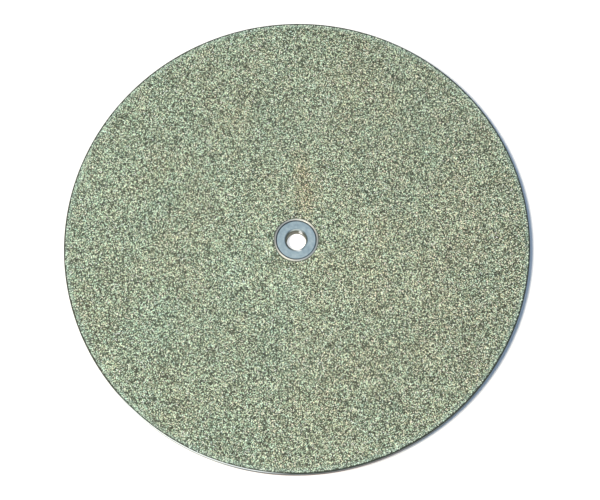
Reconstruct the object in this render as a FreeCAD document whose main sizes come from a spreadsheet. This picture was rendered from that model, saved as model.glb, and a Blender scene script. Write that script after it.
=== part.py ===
import FreeCAD, Part
import math
import os

import Sketcher

# A plated diamond grinding wheel with a reducing bush in its centre hole.
# Frame: +Z is the wheel's axis towards the diamond face, and the origin is on
# that axis at the flat back face. All sizes are in millimetres.

doc = FreeCAD.newDocument("diamond_wheel")

# --- driving dimensions ---------------------------------------------------------

dims = doc.addObject("Spreadsheet::Sheet", "dims")

DRIVING = [
    ("wheel_dia", 304.8, "12 in wheel, over the bare rim"),
    ("plate_thick", 9.525, "3/8 in steel plate"),
    ("rim_chamfer_front", 0.8, "carries the rolled edge of the nickel"),
    ("rim_chamfer_back", 0.6, "breaks the back edge of the rim"),
    ("hole_dia", 25.45, "1 in hole with room to push the bush in by hand"),
    ("hole_chamfer_front", 0.6, "breaks the front edge of the hole"),
    ("hole_chamfer_back", 0.4, "breaks the back edge of the hole"),
    ("plated_from_dia", 29.2, "the nickel starts outside a flat bare lip"),
    ("nickel_thick", 0.2, "depth of the nickel between the grains"),
    ("grit_height", 0.4, "how far the grains stand out of the nickel"),
    ("grit_setback", 0.3, "nickel left bare of grit at the inner edge"),
    ("bush_dia", 25.4, "1 in outside"),
    ("bush_length", 9.3, "a little shorter than the plate, so it sits below the lip"),
    ("bush_chamfer_front", 0.2, "lead at the front outer edge"),
    ("bush_chamfer_back", 0.5, "lead at the back outer edge"),
    ("bore_dia", 12.75, "1/2 in spindle with sliding clearance"),
    ("bore_chamfer_front", 1.4, "lead for the spindle's nose"),
    ("bore_chamfer_back", 0.5, "breaks the back edge of the bore"),
]

dims.set("A1", "name")
dims.set("B1", "mm")
dims.set("C1", "note")
for row, (alias, value, note) in enumerate(DRIVING, start=2):
    dims.set(f"A{row}", alias)
    dims.set(f"B{row}", str(value))
    dims.set(f"C{row}", note)
    dims.setAlias(f"B{row}", alias)
doc.recompute()


# --- helpers --------------------------------------------------------------------


def new_body(name):
    """A body whose Label is the node's name."""
    body = doc.addObject("PartDesign::Body", name)
    body.Label = name
    body.Placement = FreeCAD.Placement()
    return body


def origin_plane(body, role):
    """The body's own origin plane with this role."""
    return next(o for o in body.Origin.OriginFeatures if o.Role == role)


def new_sketch(body, name, role):
    """An empty sketch on one of the body's own origin planes."""
    sketch = body.newObject("Sketcher::SketchObject", name)
    sketch.AttachmentSupport = [(origin_plane(body, role), "")]
    sketch.MapMode = "FlatFace"
    return sketch


def circle_sketch(body, name, diameter):
    """A circle about the axis, with its diameter bound to a cell."""
    rough_radius = 10
    sketch = new_sketch(body, name, "XY_Plane")
    centre, axis = FreeCAD.Vector(0, 0, 0), FreeCAD.Vector(0, 0, 1)
    circle = sketch.addGeometry(Part.Circle(centre, axis, rough_radius), False)
    sketch.addConstraint(Sketcher.Constraint("Coincident", circle, 3, -1, 1))
    size = sketch.addConstraint(Sketcher.Constraint("Diameter", circle, 2 * rough_radius))
    sketch.setExpression(f"Constraints[{size}]", f"dims.{diameter}")
    return sketch


def pad_disc(body, name, diameter, length):
    """A round plate that stands on the XY plane."""
    sketch = circle_sketch(body, name + "_outline", diameter)
    pad = body.newObject("PartDesign::Pad", name)
    pad.Profile = sketch
    pad.setExpression("Length", f"dims.{length}")
    doc.recompute()
    return pad


def pocket_hole(body, name, diameter):
    """A round hole right through the body, cut upwards from the XY plane."""
    solid_before = body.Shape.Volume
    sketch = circle_sketch(body, name + "_outline", diameter)
    pocket = body.newObject("PartDesign::Pocket", name)
    pocket.Profile = sketch
    pocket.Type = "ThroughAll"
    pocket.Reversed = True
    doc.recompute()
    if not pocket.Shape.Volume < solid_before:
        raise RuntimeError(f"{name} cut nothing")
    return pocket


def chamfer_edge(body, name, base, radius, height, size):
    """A 45 degree chamfer on the round edge at this radius and height."""
    near = 1e-6
    solid_before = base.Shape.Volume
    edge_name = None
    for number, edge in enumerate(base.Shape.Edges, start=1):
        if not isinstance(edge.Curve, Part.Circle):
            continue
        if abs(edge.Curve.Radius - radius) < near and abs(edge.Curve.Center.z - height) < near:
            edge_name = f"Edge{number}"
    if edge_name is None:
        raise RuntimeError(f"{name} found no edge")
    chamfer = body.newObject("PartDesign::Chamfer", name)
    chamfer.Base = (base, [edge_name])
    chamfer.setExpression("Size", f"dims.{size}")
    doc.recompute()
    if not chamfer.Shape.Volume < solid_before:
        raise RuntimeError(f"{name} cut nothing")
    return chamfer


def section_sketch(body, name, corners):
    """A closed outline of straight lines in the XZ plane. Each corner is a pair of
    expressions, radius and height. The corners start on a rough ring, and move to
    their places when the constraints take their values from the sheet."""
    ring_radius, ring_height, ring_size = 100, 20, 10
    sketch = new_sketch(body, name, "XZ_Plane")
    count = len(corners)
    starts = []
    for index in range(count):
        angle = 2 * math.pi * index / count
        starts.append(
            FreeCAD.Vector(
                ring_radius + ring_size * math.cos(angle),
                ring_height + ring_size * math.sin(angle),
                0,
            )
        )
    for index in range(count):
        sketch.addGeometry(Part.LineSegment(starts[index], starts[(index + 1) % count]), False)
    for index in range(count):
        following = (index + 1) % count
        sketch.addConstraint(Sketcher.Constraint("Coincident", index, 2, following, 1))
    for index, (radius, height) in enumerate(corners):
        across = sketch.addConstraint(
            Sketcher.Constraint("DistanceX", -1, 1, index, 1, starts[index].x)
        )
        sketch.setExpression(f"Constraints[{across}]", radius)
        up = sketch.addConstraint(
            Sketcher.Constraint("DistanceY", -1, 1, index, 1, starts[index].y)
        )
        sketch.setExpression(f"Constraints[{up}]", height)
    return sketch


def revolve_section(body, name, corners):
    """A ring: the section turned once round the wheel's axis."""
    sketch = section_sketch(body, name + "_section", corners)
    ring = body.newObject("PartDesign::Revolution", name)
    ring.Profile = sketch
    ring.ReferenceAxis = (sketch, ["V_Axis"])
    ring.Angle = 360
    doc.recompute()
    return ring


# --- core disc: the turned steel blank ------------------------------------------

core_disc = new_body("core_disc")
plate = pad_disc(core_disc, "plate", "wheel_dia", "plate_thick")
centre_hole = pocket_hole(core_disc, "centre_hole", "hole_dia")
rim_front = chamfer_edge(
    core_disc, "rim_front", centre_hole, dims.wheel_dia / 2, dims.plate_thick, "rim_chamfer_front"
)
rim_back = chamfer_edge(core_disc, "rim_back", rim_front, dims.wheel_dia / 2, 0, "rim_chamfer_back")
hole_front = chamfer_edge(
    core_disc, "hole_front", rim_back, dims.hole_dia / 2, dims.plate_thick, "hole_chamfer_front"
)
hole_back = chamfer_edge(
    core_disc, "hole_back", hole_front, dims.hole_dia / 2, 0, "hole_chamfer_back"
)

# --- nickel bond: the plated layer, rolled over the rim's front chamfer ----------
# On the 45 degree chamfer the layer keeps its thickness, so its outer line lies
# sqrt(2) thicknesses above the chamfer and meets the face after tan(22.5) of one.

nickel_bond = new_body("nickel_bond")
rim_radius = "dims.wheel_dia / 2"
plate_top = "dims.plate_thick"
nickel_top = "dims.plate_thick + dims.nickel_thick"
chamfer_start = "dims.wheel_dia / 2 - dims.rim_chamfer_front"
chamfer_foot = "dims.plate_thick - dims.rim_chamfer_front"
nickel_bend = chamfer_start + " + dims.nickel_thick * tan(22.5 deg)"
nickel_foot = chamfer_foot + " + dims.nickel_thick * sqrt(2)"
plated_from = "dims.plated_from_dia / 2"
nickel_edge = plated_from + " + dims.nickel_thick"
revolve_section(
    nickel_bond,
    "nickel_layer",
    [
        (plated_from, plate_top),
        (chamfer_start, plate_top),
        (rim_radius, chamfer_foot),
        (rim_radius, nickel_foot),
        (nickel_bend, nickel_top),
        (nickel_edge, nickel_top),
    ],
)

# --- diamond grit: one even layer that stands for the single layer of grains ----

diamond_grit = new_body("diamond_grit")
grit_top = nickel_top + " + dims.grit_height"
grit_from = nickel_edge + " + dims.grit_setback"
revolve_section(
    diamond_grit,
    "grit_layer",
    [
        (grit_from, nickel_top),
        (chamfer_start, nickel_top),
        (chamfer_start, grit_top),
        (grit_from, grit_top),
    ],
)

# --- arbor bush: the reducing bush that pushes out of the centre hole -----------

arbor_bush = new_body("arbor_bush")
blank = pad_disc(arbor_bush, "blank", "bush_dia", "bush_length")
bore = pocket_hole(arbor_bush, "bore", "bore_dia")
bush_front = chamfer_edge(
    arbor_bush, "bush_front", bore, dims.bush_dia / 2, dims.bush_length, "bush_chamfer_front"
)
bush_back = chamfer_edge(
    arbor_bush, "bush_back", bush_front, dims.bush_dia / 2, 0, "bush_chamfer_back"
)
bore_front = chamfer_edge(
    arbor_bush, "bore_front", bush_back, dims.bore_dia / 2, dims.bush_length, "bore_chamfer_front"
)
bore_back = chamfer_edge(
    arbor_bush, "bore_back", bore_front, dims.bore_dia / 2, 0, "bore_chamfer_back"
)

# --- checks and export ----------------------------------------------------------

doc.recompute()

for item in doc.Objects:
    if "Invalid" in item.State or "Error" in item.State:
        raise RuntimeError(f"{item.Name} failed: {item.State}")

sub_parts = [core_disc, nickel_bond, diamond_grit, arbor_bush]
for body in sub_parts:
    if body.Shape.isNull() or not body.Shape.isValid() or len(body.Shape.Solids) != 1:
        raise RuntimeError(f"{body.Label} has no sound solid")

os.makedirs("parts", exist_ok=True)
for body in sub_parts:
    body.Shape.exportStep(f"parts/{body.Label}.step")
    box = body.Shape.BoundBox
    print(
        f"{body.Label}: {body.Shape.Volume:.1f} mm3, radius {box.XMax:.3f}, "
        f"from {box.ZMin:.3f} to {box.ZMax:.3f}"
    )
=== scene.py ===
import bpy
import bmesh
import math
import random
from mathutils import Matrix, Vector, noise


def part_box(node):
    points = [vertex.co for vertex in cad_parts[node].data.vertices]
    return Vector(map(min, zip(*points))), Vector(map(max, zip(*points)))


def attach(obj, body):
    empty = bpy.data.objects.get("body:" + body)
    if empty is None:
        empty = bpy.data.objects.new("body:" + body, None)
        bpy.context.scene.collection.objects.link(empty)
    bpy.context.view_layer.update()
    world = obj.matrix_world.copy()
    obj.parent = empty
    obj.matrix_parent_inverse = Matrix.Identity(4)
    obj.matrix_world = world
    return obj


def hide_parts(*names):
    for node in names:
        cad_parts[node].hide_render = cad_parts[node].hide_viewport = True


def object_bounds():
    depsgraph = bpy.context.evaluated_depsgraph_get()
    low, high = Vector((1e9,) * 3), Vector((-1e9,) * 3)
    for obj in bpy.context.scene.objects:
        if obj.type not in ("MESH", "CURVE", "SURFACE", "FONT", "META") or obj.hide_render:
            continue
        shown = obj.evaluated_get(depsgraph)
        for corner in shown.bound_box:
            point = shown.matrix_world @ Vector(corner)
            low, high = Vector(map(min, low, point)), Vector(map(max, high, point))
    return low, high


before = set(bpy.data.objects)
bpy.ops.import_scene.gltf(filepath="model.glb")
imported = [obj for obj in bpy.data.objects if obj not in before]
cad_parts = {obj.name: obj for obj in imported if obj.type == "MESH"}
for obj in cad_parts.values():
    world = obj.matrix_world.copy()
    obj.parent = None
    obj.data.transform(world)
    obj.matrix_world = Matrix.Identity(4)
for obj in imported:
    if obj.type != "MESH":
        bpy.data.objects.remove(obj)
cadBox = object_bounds()
scene = bpy.context.scene
turn = 2 * math.pi


# shared mesh helpers

def linkPiece(name, bm, material, smoothBelow=35):
    bmesh.ops.recalc_face_normals(bm, faces=bm.faces)
    mesh = bpy.data.meshes.new(name)
    bm.to_mesh(mesh)
    bm.free()
    mesh.shade_smooth()
    mesh.set_sharp_from_angle(angle=math.radians(smoothBelow))
    mesh.materials.append(material)
    piece = bpy.data.objects.new(name, mesh)
    scene.collection.objects.link(piece)
    return piece


def roundedSection(corners, rounding, segments=3):
    # one face in the XZ plane, its corners rounded, left as an outline of edges
    bm = bmesh.new()
    face = bm.faces.new([bm.verts.new((radius, 0, height)) for radius, height in corners])
    bmesh.ops.bevel(bm, geom=list(face.verts), affect="VERTICES", offset=rounding,
                    offset_type="OFFSET", segments=segments, profile=0.5, material=-1)
    bmesh.ops.delete(bm, geom=list(bm.faces), context="FACES_ONLY")
    return bm


def spinAround(bm, steps, angle=turn):
    full = abs(angle - turn) < 1e-6
    bmesh.ops.spin(bm, geom=list(bm.verts) + list(bm.edges), cent=(0, 0, 0), axis=(0, 0, 1),
                   angle=angle, steps=steps, use_merge=full, use_duplicate=False)
    bmesh.ops.remove_doubles(bm, verts=list(bm.verts), dist=1e-7)


# shared node helpers

def newMaterial(name):
    material = bpy.data.materials.new(name)
    material.use_nodes = True
    tree = material.node_tree
    return material, tree.nodes, tree.links, tree.nodes["Principled BSDF"]


def objectCoords(nodes):
    return nodes.new("ShaderNodeTexCoord").outputs["Object"]


def noiseAt(nodes, links, vector, scale, detail):
    tex = nodes.new("ShaderNodeTexNoise")
    tex.inputs["Scale"].default_value = scale
    tex.inputs["Detail"].default_value = detail
    tex.inputs["Roughness"].default_value = 0.55
    links.new(vector, tex.inputs["Vector"])
    return tex.outputs["Fac"]


def rampOf(nodes, links, factor, stops):
    ramp = nodes.new("ShaderNodeValToRGB")
    elements = ramp.color_ramp.elements
    while len(elements) < len(stops):
        elements.new(0.5)
    for element, (place, colour) in zip(elements, stops):
        element.position = place
        element.color = (*colour, 1)
    links.new(factor, ramp.inputs["Fac"])
    return ramp.outputs["Color"]


def mixColours(nodes, links, factor, first, second, blend="MIX"):
    mix = nodes.new("ShaderNodeMix")
    mix.data_type = "RGBA"
    mix.blend_type = blend
    for value, socket in ((factor, mix.inputs[0]), (first, mix.inputs[6]), (second, mix.inputs[7])):
        if isinstance(value, bpy.types.NodeSocket):
            links.new(value, socket)
        elif isinstance(value, tuple):
            socket.default_value = (*value, 1)
        else:
            socket.default_value = value
    return mix.outputs[2]


def rangeOf(nodes, links, value, low, high, fromLow=0.0, fromHigh=1.0):
    spread = nodes.new("ShaderNodeMapRange")
    spread.inputs["From Min"].default_value = fromLow
    spread.inputs["From Max"].default_value = fromHigh
    spread.inputs["To Min"].default_value = low
    spread.inputs["To Max"].default_value = high
    links.new(value, spread.inputs["Value"])
    return spread.outputs["Result"]


def lengthAlong(nodes, links, coords, keep):
    # distance from the axis for keep (1, 1, 0), or height for keep (0, 0, 1)
    flatten = nodes.new("ShaderNodeVectorMath")
    flatten.operation = "MULTIPLY"
    flatten.inputs[1].default_value = keep
    links.new(coords, flatten.inputs[0])
    length = nodes.new("ShaderNodeVectorMath")
    length.operation = "LENGTH"
    links.new(flatten.outputs["Vector"], length.inputs[0])
    return length.outputs["Value"]


def spotAt(nodes, links, coords, centre, scale, inner, outer):
    # 1 inside the inner distance from a point and 0 beyond the outer one
    apart = nodes.new("ShaderNodeVectorMath")
    apart.operation = "SUBTRACT"
    apart.inputs[1].default_value = centre
    links.new(coords, apart.inputs[0])
    away = lengthAlong(nodes, links, apart.outputs["Vector"], scale)
    return rangeOf(nodes, links, away, 1.0, 0.0, inner, outer)


def product(nodes, links, first, second):
    multiply = nodes.new("ShaderNodeMath")
    multiply.operation = "MULTIPLY"
    links.new(first, multiply.inputs[0])
    links.new(second, multiply.inputs[1])
    return multiply.outputs["Value"]


def turnedLines(nodes, links, along, pitch):
    # lathe marks: noise that changes only along one length
    tex = nodes.new("ShaderNodeTexNoise")
    tex.noise_dimensions = "1D"
    tex.inputs["Scale"].default_value = 1 / pitch
    tex.inputs["Detail"].default_value = 3
    links.new(along, tex.inputs["W"])
    return tex.outputs["Fac"]


def bumpFrom(nodes, links, shader, height, distance, strength):
    bump = nodes.new("ShaderNodeBump")
    bump.inputs["Distance"].default_value = distance
    bump.inputs["Strength"].default_value = strength
    links.new(height, bump.inputs["Height"])
    links.new(bump.outputs["Normal"], shader.inputs["Normal"])


# the steel blank

blankSettings = {
    "holeRadius": 0.012725,
    "rimFrontChamfer": 0.0008,
    "rimBackChamfer": 0.0006,
    "holeFrontChamfer": 0.0006,
    "holeBackChamfer": 0.0004,
    "edgeBreak": 0.00012,
    "steps": 360,
    "smoothBelow": 5,
    "dulledFrom": 0.01410,  # the lip's outer edge
    "dulledColour": (0.19, 0.21, 0.17),
    "darkEdgeTo": 0.01325,
    "litSpotAt": (0.0085, -0.0105, 0),
    "litSpotColour": (0.22, 0.27, 0.29),
    "shadedSideAt": (0.0600, -0.1400, 0),
    "rustAt": (0.012, -0.152, 0),
    "rimFrom": 0.1510,
    "dullRimColour": (0.42, 0.46, 0.45),
    "footShadowTop": 0.0026,
    "footShadowColour": (0.020, 0.024, 0.028),
    "facingPitch": 0.00022,
    "turningPitch": 0.00030,
}


# bare turned steel
def turnedSteel():
    s = blankSettings
    material, nodes, links, shader = newMaterial("turnedSteel")
    coords = objectCoords(nodes)
    stain = noiseAt(nodes, links, coords, 45, 5)
    clean = rampOf(nodes, links, stain, [
        (0.30, (0.28, 0.28, 0.26)), (0.55, (0.38, 0.39, 0.37)), (0.75, (0.45, 0.46, 0.45))])
    radius = lengthAlong(nodes, links, coords, (1, 1, 0))
    height = lengthAlong(nodes, links, coords, (0, 0, 1))
    # the lip's outer edge is dulled by the plating bath
    outerLip = rangeOf(nodes, links, radius, 0.0, 1.0, s["dulledFrom"], s["dulledFrom"] + 0.0003)
    onFront = rangeOf(nodes, links, height, 0.0, 1.0, 0.0088, 0.0092)
    dull = product(nodes, links, outerLip, onFront)
    dulled = mixColours(nodes, links, dull, clean, s["dulledColour"])
    # the hole's edge is painted dark, with a painted highlight on one side
    acrossEdge = rangeOf(nodes, links, radius, 0.0, 1.0, 0.0127, 0.0137)
    darkEdge = rampOf(nodes, links, acrossEdge, [(0.15, (0.15, 0.20, 0.23)), (0.35, (0.050, 0.060, 0.062))])
    inHole = rangeOf(nodes, links, radius, 1.0, 0.0, s["darkEdgeTo"], s["darkEdgeTo"] + 0.0002)
    # painted highlight: a lighter spot on one side of the dark edge
    litSpot = spotAt(nodes, links, coords, s["litSpotAt"], (1, 1, 0), 0.004, 0.011)
    edge = mixColours(nodes, links, litSpot, darkEdge, s["litSpotColour"])
    holed = mixColours(nodes, links, inHole, dulled, edge)
    # one side of the rim is painted dark as painted shade, with rust along its foot
    rust = rampOf(nodes, links, stain, [(0.35, (0.110, 0.054, 0.044)), (0.65, (0.190, 0.100, 0.086))])
    shadeTone = rampOf(nodes, links, stain, [(0.35, (0.075, 0.092, 0.080)), (0.65, (0.120, 0.140, 0.150))])
    foot = rangeOf(nodes, links, height, 1.0, 0.0, 0.0030, 0.0055)
    rusty = spotAt(nodes, links, coords, s["rustAt"], (1, 1, 0), 0.035, 0.060)
    shadeAndRust = mixColours(nodes, links, product(nodes, links, foot, rusty), shadeTone, rust)
    shadedSide = spotAt(nodes, links, coords, s["shadedSideAt"], (1, 1, 0), 0.110, 0.135)
    atRim = rangeOf(nodes, links, radius, 0.0, 1.0, s["rimFrom"], s["rimFrom"] + 0.0005)
    shadedRim = product(nodes, links, shadedSide, atRim)
    stained = mixColours(nodes, links, shadedRim, holed, shadeAndRust)
    # the rest of the rim is dull, with a painted shadow line along its foot
    restOfRim = product(nodes, links, atRim, rangeOf(nodes, links, shadedSide, 1.0, 0.0))
    dullRim = mixColours(nodes, links, restOfRim, stained, s["dullRimColour"])
    low = rangeOf(nodes, links, height, 1.0, 0.0, s["footShadowTop"], s["footShadowTop"] + 0.001)
    footShadow = product(nodes, links, restOfRim, low)
    footShadowed = mixColours(nodes, links, footShadow, dullRim, s["footShadowColour"])
    links.new(footShadowed, shader.inputs["Base Color"])
    links.new(rangeOf(nodes, links, shadedRim, 0.9, 0.0), shader.inputs["Metallic"])
    shader.inputs["Specular IOR Level"].default_value = 0.1
    shader.inputs["Anisotropic"].default_value = 0.5
    shader.inputs["Anisotropic Rotation"].default_value = 0.25
    both = nodes.new("ShaderNodeMath")
    both.operation = "ADD"
    links.new(turnedLines(nodes, links, radius, s["facingPitch"]), both.inputs[0])
    links.new(turnedLines(nodes, links, height, s["turningPitch"]), both.inputs[1])
    links.new(rangeOf(nodes, links, stain, 0.48, 0.36), shader.inputs["Roughness"])
    bumpFrom(nodes, links, shader, both.outputs["Value"], 0.00001, 0.4)
    return material


def makeBlank(material):
    s = blankSettings
    low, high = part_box("core_disc")
    rim, hole, top = high.x, s["holeRadius"], high.z
    corners = [
        (hole + s["holeBackChamfer"], low.z), (rim - s["rimBackChamfer"], low.z),
        (rim, low.z + s["rimBackChamfer"]), (rim, top - s["rimFrontChamfer"]),
        (rim - s["rimFrontChamfer"], top), (hole + s["holeFrontChamfer"], top),
        (hole, top - s["holeFrontChamfer"]), (hole, low.z + s["holeBackChamfer"]),
    ]
    bm = roundedSection(corners, s["edgeBreak"])
    spinAround(bm, s["steps"])
    piece = linkPiece("wheelBlank", bm, material, s["smoothBelow"])
    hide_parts("core_disc")
    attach(piece, "wheel")
    print("blank turned")


# the nickel layer, rolled over the front edge of the rim

nickelSettings = {
    "innerRadius": 0.0146,
    "thickness": 0.0002,
    "ripple": 0.00003,
    "rippleLength": 0.004,
    "rings": 60,
    "steps": 256,
    "overlap": 0.00002,  # how far the layer is sunk into the plate and the rim
    "bevelFrom": 0.15145,
    "bevelColour": (0.040, 0.052, 0.040),
    "bevelHighlightFrom": 0.15190,
    "bevelHighlightAt": (-0.0762, -0.1320, 0),
    "bevelHighlightColour": (0.90, 0.95, 0.92),
}


# matte plating between the grains
def platedNickel():
    s = nickelSettings
    material, nodes, links, shader = newMaterial("platedNickel")
    coords = objectCoords(nodes)
    pebbles = noiseAt(nodes, links, coords, 2600, 3)
    clouds = noiseAt(nodes, links, coords, 30, 4)
    dark = rampOf(nodes, links, clouds, [(0.35, (0.014, 0.018, 0.013)), (0.65, (0.020, 0.020, 0.014))])
    light = rampOf(nodes, links, clouds, [(0.35, (0.09, 0.11, 0.08)), (0.65, (0.11, 0.11, 0.08))])
    bed = mixColours(nodes, links, pebbles, dark, light)
    # the bare bevel at the rim is darker than the bed
    radius = lengthAlong(nodes, links, coords, (1, 1, 0))
    bevel = rangeOf(nodes, links, radius, 0.0, 1.0, s["bevelFrom"], s["bevelFrom"] + 0.00015)
    bare = mixColours(nodes, links, bevel, bed, s["bevelColour"])
    # and a painted highlight at its outer edge along one stretch
    outerEdge = rangeOf(nodes, links, radius, 0.0, 1.0, s["bevelHighlightFrom"], s["bevelHighlightFrom"] + 0.00015)
    stretch = spotAt(nodes, links, coords, s["bevelHighlightAt"], (1, 1, 0), 0.045, 0.065)
    bevelHighlight = product(nodes, links, outerEdge, stretch)
    links.new(mixColours(nodes, links, bevelHighlight, bare, s["bevelHighlightColour"]), shader.inputs["Base Color"])
    shader.inputs["Metallic"].default_value = 0.4
    shader.inputs["Specular IOR Level"].default_value = 0.25
    links.new(rangeOf(nodes, links, pebbles, 0.55, 0.75), shader.inputs["Roughness"])
    bumpFrom(nodes, links, shader, pebbles, 0.00012, 0.8)
    return material


def makeNickel(material):
    s = nickelSettings
    low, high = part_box("nickel_bond")
    rim, top = high.x, high.z
    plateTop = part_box("core_disc")[1].z
    chamfer = blankSettings["rimFrontChamfer"]
    bend = rim - chamfer + s["thickness"] * math.tan(math.radians(22.5))
    foot = plateTop - chamfer + s["thickness"] * math.sqrt(2)
    inner = s["innerRadius"]
    outer = bend - 0.0004
    ringRadii = [inner + s["thickness"] + (outer - inner - s["thickness"]) * i / s["rings"]
                 for i in range(s["rings"] + 1)]
    profile = [(inner, plateTop - s["overlap"])]
    profile += [(radius, top) for radius in ringRadii]
    profile += [(bend + 0.0001, top - 0.00006), (rim - s["overlap"], foot),
                (rim - s["overlap"], foot - s["thickness"])]
    bm = bmesh.new()
    points = [bm.verts.new((radius, 0, height)) for radius, height in profile]
    for first, second in zip(points, points[1:]):
        bm.edges.new((first, second))
    spinAround(bm, s["steps"])
    for vert in bm.verts:
        if vert.co.z > plateTop + 0.0001:
            vert.co.z += s["ripple"] * (noise.noise(vert.co / s["rippleLength"]) - 1) / 2
    piece = linkPiece("nickelLayer", bm, material)
    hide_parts("nickel_bond")
    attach(piece, "wheel")
    print("nickel laid")


# the diamond grains

gritSettings = {
    "sectors": 12,
    "spacing": 0.00054,
    "grainSmall": 0.00066,
    "grainLarge": 0.00095,
    "tilt": 0.30,
    "innerRadius": 0.0151,
    "rimSetback": 0.0012,
    "seed": 12,
    "baseWidth": 0.62,  # the shapes' sizes are shares of a grain
    "lift": 0.2,
    "jitterAcross": 0.14,
    "jitterUp": 0.08,
    "bedSteps": 45,
    "bedSunk": 0.00002,
    "litSideAt": (-0.15, 0, 0),
    "streakAt": (0.0075, 0.036, 0),
    "streakColour": (1.0, 0.88, 0.82),
    "paleFrom": 0.1480,
    "paleColour": (0.62, 0.84, 0.72),
}

grainShapes = [  # sides, how wide the top is, height, for each shape of grain
    (4, 0.45, 0.46),
    (5, 0.00, 0.50),
    (4, 0.30, 0.52),
    (4, 0.00, 0.54),
    (5, 0.50, 0.44),
    (5, 0.20, 0.48),
]


# each grain has a tone and a tint of its own
def diamondGrains():
    s = gritSettings
    material, nodes, links, shader = newMaterial("diamondGrains")
    tone = nodes.new("ShaderNodeAttribute")
    tone.attribute_name = "tone"
    tint = nodes.new("ShaderNodeAttribute")
    tint.attribute_name = "tint"
    shade = rampOf(nodes, links, tone.outputs["Fac"], [
        (0.00, (0.030, 0.036, 0.026)), (0.30, (0.190, 0.220, 0.170)), (0.50, (0.430, 0.490, 0.385)),
        (0.75, (0.760, 0.840, 0.700)), (1.00, (1.000, 1.000, 0.950))])
    cast = rampOf(nodes, links, tint.outputs["Fac"], [
        (0.00, (0.62, 0.92, 0.85)), (0.25, (0.78, 0.98, 0.82)), (0.50, (0.92, 0.97, 0.80)),
        (0.75, (1.00, 0.92, 0.68)), (0.90, (1.00, 0.80, 0.70)), (1.00, (0.82, 0.82, 1.00))])
    own = mixColours(nodes, links, 0.6, shade, cast, "MULTIPLY")
    coords = objectCoords(nodes)
    clouds = noiseAt(nodes, links, coords, 30, 3)
    wash = rampOf(nodes, links, clouds, [(0.30, (0.95, 1.0, 0.99)), (0.70, (1.0, 0.98, 0.93))])
    washed = mixColours(nodes, links, 1.0, own, wash, "MULTIPLY")
    # painted light: the face is tinted teal on the left and warm on the right, as the light falls across
    # it
    litSide = spotAt(nodes, links, coords, s["litSideAt"], (1, 0, 0), 0.02, 0.30)
    litSideTint = mixColours(nodes, links, litSide, (1.0, 0.960, 0.945), (0.965, 1.0, 1.0))
    evened = mixColours(nodes, links, 1.0, washed, litSideTint, "MULTIPLY")
    streak = spotAt(nodes, links, coords, s["streakAt"], (1, 0.22, 0), 0.002, 0.008)
    stained = mixColours(nodes, links, 1.0, evened, s["streakColour"], "MULTIPLY")
    streaked = mixColours(nodes, links, streak, evened, stained)
    # the outermost grains are paler
    radius = lengthAlong(nodes, links, coords, (1, 1, 0))
    nearRim = rangeOf(nodes, links, radius, 0.0, 0.32, s["paleFrom"], s["paleFrom"] + 0.0025)
    pale = mixColours(nodes, links, nearRim, streaked, s["paleColour"])
    links.new(pale, shader.inputs["Base Color"])
    shader.inputs["Roughness"].default_value = 0.45
    shader.inputs["IOR"].default_value = 1.5
    return material


def makeGrainShapes():
    s = gritSettings
    shelf = bpy.data.collections.new("grainShapes")
    draw = random.Random(s["seed"])
    across, upward, base = s["jitterAcross"], s["jitterUp"], s["baseWidth"]
    for number, (sides, topWidth, height) in enumerate(grainShapes, start=1):
        bm = bmesh.new()
        bmesh.ops.create_cone(bm, cap_ends=True, cap_tris=False, segments=sides,
                              radius1=base, radius2=base * topWidth, depth=height)
        under = [face for face in bm.faces if face.normal.z < -0.9]
        bmesh.ops.delete(bm, geom=under, context="FACES_ONLY")
        bmesh.ops.triangulate(bm, faces=list(bm.faces))
        bmesh.ops.translate(bm, verts=list(bm.verts), vec=(0, 0, height * s["lift"]))
        for vert in bm.verts:
            vert.co += Vector((draw.uniform(-across, across), draw.uniform(-across, across),
                               draw.uniform(-upward, upward)))
        mesh = bpy.data.meshes.new(f"grainShape{number}")
        bm.to_mesh(mesh)
        bm.free()
        shelf.objects.link(bpy.data.objects.new(f"grainShape{number}", mesh))
    return shelf


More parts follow.
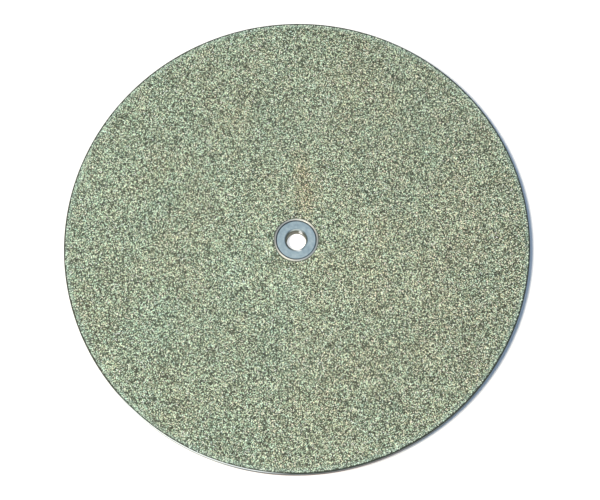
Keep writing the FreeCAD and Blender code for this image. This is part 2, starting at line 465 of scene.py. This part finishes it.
def scatterTree(shelf, material, seed):
    # points with even spacing, one grain on each, turned and tipped at random
    s = gritSettings
    tree = bpy.data.node_groups.new(f"scatterGrit{seed}", "GeometryNodeTree")
    tree.interface.new_socket("Geometry", in_out="INPUT", socket_type="NodeSocketGeometry")
    tree.interface.new_socket("Geometry", in_out="OUTPUT", socket_type="NodeSocketGeometry")
    nodes, links = tree.nodes, tree.links
    given, result = nodes.new("NodeGroupInput"), nodes.new("NodeGroupOutput")
    spread = nodes.new("GeometryNodeDistributePointsOnFaces")
    spread.distribute_method = "POISSON"
    spread.inputs["Distance Min"].default_value = s["spacing"]
    spread.inputs["Density Max"].default_value = 3 / s["spacing"] ** 2
    spread.inputs["Seed"].default_value = seed
    shapes = nodes.new("GeometryNodeCollectionInfo")
    shapes.inputs["Collection"].default_value = shelf
    shapes.inputs["Separate Children"].default_value = True
    shapes.inputs["Reset Children"].default_value = True

    def draw(kind, low, high, salt):
        value = nodes.new("FunctionNodeRandomValue")
        value.data_type = kind
        index = 0 if kind == "FLOAT_VECTOR" else 2
        value.inputs[index].default_value = low
        value.inputs[index + 1].default_value = high
        value.inputs["Seed"].default_value = seed * 10 + salt
        return value.outputs[0 if kind == "FLOAT_VECTOR" else 1]

    tip = nodes.new("FunctionNodeRotateRotation")
    tip.rotation_space = "LOCAL"
    links.new(spread.outputs["Rotation"], tip.inputs["Rotation"])
    links.new(draw("FLOAT_VECTOR", (-s["tilt"], -s["tilt"], 0), (s["tilt"], s["tilt"], turn), 1),
              tip.inputs["Rotate By"])
    place = nodes.new("GeometryNodeInstanceOnPoints")
    place.inputs["Pick Instance"].default_value = True
    links.new(given.outputs[0], spread.inputs["Mesh"])
    links.new(spread.outputs["Points"], place.inputs["Points"])
    links.new(shapes.outputs[0], place.inputs["Instance"])
    links.new(tip.outputs["Rotation"], place.inputs["Rotation"])
    links.new(draw("FLOAT", s["grainSmall"], s["grainLarge"], 2), place.inputs["Scale"])
    current = place.outputs["Instances"]
    for salt, name in ((3, "tone"), (4, "tint")):
        store = nodes.new("GeometryNodeStoreNamedAttribute")
        store.data_type = "FLOAT"
        store.domain = "INSTANCE"
        store.inputs["Name"].default_value = name
        links.new(draw("FLOAT", 0.0, 1.0, salt), store.inputs["Value"])
        links.new(current, store.inputs["Geometry"])
        current = store.outputs["Geometry"]
    real = nodes.new("GeometryNodeRealizeInstances")
    coat = nodes.new("GeometryNodeSetMaterial")
    coat.inputs["Material"].default_value = material
    links.new(current, real.inputs["Geometry"])
    links.new(real.outputs["Geometry"], coat.inputs["Geometry"])
    links.new(coat.outputs["Geometry"], result.inputs[0])
    return tree


def makeGrit(material):
    s = gritSettings
    shelf = makeGrainShapes()
    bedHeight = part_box("nickel_bond")[1].z - s["bedSunk"]
    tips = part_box("diamond_grit")[1].z
    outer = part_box("nickel_bond")[1].x - s["rimSetback"]
    angle = turn / s["sectors"]
    for number in range(s["sectors"]):
        bm = bmesh.new()
        points = [bm.verts.new((radius, 0, bedHeight)) for radius in (s["innerRadius"], outer)]
        bm.edges.new(points)
        bmesh.ops.rotate(bm, verts=list(bm.verts), cent=(0, 0, 0),
                         matrix=Matrix.Rotation(angle * number, 3, "Z"))
        spinAround(bm, s["bedSteps"], angle)
        bmesh.ops.recalc_face_normals(bm, faces=list(bm.faces))
        if sum(face.normal.z for face in bm.faces) < 0:
            bmesh.ops.reverse_faces(bm, faces=list(bm.faces))
        bed = bpy.data.meshes.new("gritBed")
        bm.to_mesh(bed)
        bm.free()
        holder = bpy.data.objects.new("gritBed", bed)
        scene.collection.objects.link(holder)
        scatter = holder.modifiers.new("scatter", "NODES")
        scatter.node_group = scatterTree(shelf, material, s["seed"] + number)
        graph = bpy.context.evaluated_depsgraph_get()
        mesh = bpy.data.meshes.new_from_object(holder.evaluated_get(graph))
        bpy.data.objects.remove(holder)
        name = f"gritSector{number + 1}"
        mesh.name = name
        for vert in mesh.vertices:
            vert.co.z = min(vert.co.z, tips)
        mesh.shade_flat()
        piece = bpy.data.objects.new(name, mesh)
        scene.collection.objects.link(piece)
        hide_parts("diamond_grit")
        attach(piece, "wheel")
        print("grit sector", number + 1, "has", len(mesh.polygons), "facets")


# the reducing bush

bushSettings = {
    "boreRadius": 0.006375,
    "outsideChamfer": 0.0002,
    "boreChamfer": 0.0014,
    "backChamfer": 0.0005,
    "edgeBreak": 0.00010,
    "steps": 180,
    "smoothBelow": 5,
    "mouthTo": 0.00735,
    "mouthShadeColour": (0.075, 0.090, 0.085),
    "glintColour": (0.42, 0.48, 0.47),
    "litSpotAt": (0.0048, -0.0052, 0),
    "mouthHighlightAt": (0.0010, -0.0070, 0),
    "mouthHighlightColour": (0.85, 0.88, 0.86),
    "wallTo": 0.00655,
    "boreShadeColour": (0.050, 0.058, 0.022),
    "wallHighlightAt": (0.0033, 0.00545, 0.0057),
    "wallHighlightColour": (0.95, 0.95, 0.92),
    "facingPitch": 0.00016,
}


# blue bright zinc
def blueZinc():
    s = bushSettings
    material, nodes, links, shader = newMaterial("blueZinc")
    coords = objectCoords(nodes)
    mottle = noiseAt(nodes, links, coords, 380, 5)
    plated = rampOf(nodes, links, mottle, [
        (0.30, (0.150, 0.215, 0.260)), (0.50, (0.195, 0.270, 0.315)), (0.70, (0.255, 0.325, 0.360))])
    radius = lengthAlong(nodes, links, coords, (1, 1, 0))
    # the bore and its mouth are painted dark as painted shade, with painted highlights where the chamfer
    # and the wall catch the light
    inMouth = rangeOf(nodes, links, radius, 1.0, 0.0, s["mouthTo"], s["mouthTo"] + 0.0002)
    inBore = rangeOf(nodes, links, radius, 1.0, 0.0, s["wallTo"], s["wallTo"] + 0.00025)
    glint = spotAt(nodes, links, coords, (0.0006, 0, 0), (1, 0, 0), 0.0020, 0.0052)
    dark = mixColours(nodes, links, glint, s["mouthShadeColour"], s["glintColour"])
    # painted highlight: a spot where the painted shade of the mouth gives way to the plated colour
    litSpot = spotAt(nodes, links, coords, s["litSpotAt"], (1, 1, 0), 0.0020, 0.0048)
    mouth = mixColours(nodes, links, litSpot, dark, plated)
    faced = mixColours(nodes, links, inMouth, plated, mouth)
    # painted highlight at the bottom of the mouth
    mouthHighlight = spotAt(nodes, links, coords, s["mouthHighlightAt"], (0.45, 1, 0), 0.0005, 0.0011)
    highlighted = mixColours(nodes, links, mouthHighlight, faced, s["mouthHighlightColour"])
    # painted highlight on the bore wall
    wallHighlight = spotAt(nodes, links, coords, s["wallHighlightAt"], (1, 1, 0.5), 0.0011, 0.0018)
    wall = mixColours(nodes, links, wallHighlight, s["boreShadeColour"], s["wallHighlightColour"])
    links.new(mixColours(nodes, links, inBore, highlighted, wall), shader.inputs["Base Color"])
    links.new(rangeOf(nodes, links, inMouth, 0.35, 0.0), shader.inputs["Metallic"])
    links.new(rangeOf(nodes, links, mottle, 0.60, 0.48), shader.inputs["Roughness"])
    lines = turnedLines(nodes, links, radius, s["facingPitch"])
    bumpFrom(nodes, links, shader, lines, 0.00001, 0.4)
    return material


def makeBush(material):
    s = bushSettings
    low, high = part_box("arbor_bush")
    outside, bore, top = high.x, s["boreRadius"], high.z
    corners = [
        (bore + s["backChamfer"], low.z), (outside - s["backChamfer"], low.z),
        (outside, low.z + s["backChamfer"]), (outside, top - s["outsideChamfer"]),
        (outside - s["outsideChamfer"], top), (bore + s["boreChamfer"], top),
        (bore, top - s["boreChamfer"]), (bore, low.z + s["backChamfer"]),
    ]
    bm = roundedSection(corners, s["edgeBreak"])
    spinAround(bm, s["steps"])
    piece = linkPiece("bushRing", bm, material, s["smoothBelow"])
    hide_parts("arbor_bush")
    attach(piece, "bush")
    print("bush turned")


makeBlank(turnedSteel())
makeNickel(platedNickel())
makeGrit(diamondGrains())
makeBush(blueZinc())


# white paper, light and camera

roomSettings = {
    "paper": 3.0,
    "paperColour": (0.9, 0.9, 0.9),
    "keyAzimuth": 206,
    "keyElevation": 72,
    "keyDistance": 1.6,
    "keySize": 0.35,
    "keyPower": 31,
    "keyColour": (1.0, 0.90, 0.74),
    "skyColour": (0.55, 0.74, 1.0),
    "skyStrength": 0.60,
    "glowRadius": 0.009,
    "glowStrength": 0.6,
}


def makeRoom():
    s = roomSettings
    bm = bmesh.new()
    bmesh.ops.create_grid(bm, x_segments=1, y_segments=1, size=s["paper"] / 2)
    mesh = bpy.data.meshes.new("paper")
    bm.to_mesh(mesh)
    bm.free()
    material, nodes, links, shader = newMaterial("whitePaper")
    shader.inputs["Base Color"].default_value = (*s["paperColour"], 1)
    shader.inputs["Roughness"].default_value = 0.9
    # painted light: the paper glows in a spot under the bore
    coords = objectCoords(nodes)
    glow = spotAt(nodes, links, coords, (0, 0, 0), (1, 1, 0), s["glowRadius"], s["glowRadius"] * 1.1)
    links.new(rangeOf(nodes, links, glow, 0.0, s["glowStrength"]), shader.inputs["Emission Strength"])
    shader.inputs["Emission Color"].default_value = (1, 1, 1, 1)
    mesh.materials.append(material)
    paper = bpy.data.objects.new("paper", mesh)
    scene.collection.objects.link(paper)

    light = bpy.data.lights.new("keyLight", "AREA")
    light.shape = "DISK"
    light.size = s["keySize"]
    light.energy = s["keyPower"]
    light.color = s["keyColour"]
    key = bpy.data.objects.new("keyLight", light)
    azimuth, elevation = math.radians(s["keyAzimuth"]), math.radians(s["keyElevation"])
    towards = Vector((math.cos(azimuth) * math.cos(elevation),
                      math.sin(azimuth) * math.cos(elevation), math.sin(elevation)))
    key.location = towards * s["keyDistance"]
    key.rotation_euler = towards.to_track_quat("Z", "Y").to_euler()
    scene.collection.objects.link(key)

    world = bpy.data.worlds.new("softSky")
    world.use_nodes = True
    sky = world.node_tree.nodes["Background"]
    sky.inputs["Color"].default_value = (*s["skyColour"], 1)
    sky.inputs["Strength"].default_value = s["skyStrength"]
    scene.world = world
    scene.view_settings.view_transform = "Standard"
    print("room lit")


cameraSettings = {
    "elevation": 75.11,
    "distance": 0.9635,
    "roll": -4.64,
    "lens": 88.66,
    "aimAcross": 0.00191,
    "aimAlong": -0.00727,
}


def makeCamera():
    s = cameraSettings
    elevation = math.radians(s["elevation"])
    aim = Vector((s["aimAcross"], s["aimAlong"], cadBox[1].z))
    back = Vector((0, -math.cos(elevation), math.sin(elevation)))
    data = bpy.data.cameras.new("camera")
    data.lens = s["lens"]
    data.sensor_width = 36
    data.clip_start = 0.01
    camera = bpy.data.objects.new("camera", data)
    right = Vector((1, 0, 0))
    up = back.cross(right)
    level = Matrix((right, up, back)).transposed()
    roll = Matrix.Rotation(math.radians(s["roll"]), 3, "Z")
    camera.matrix_world = Matrix.Translation(aim + back * s["distance"]) @ (level @ roll).to_4x4()
    scene.collection.objects.link(camera)
    scene.camera = camera
    print("camera placed")


makeRoom()
makeCamera()
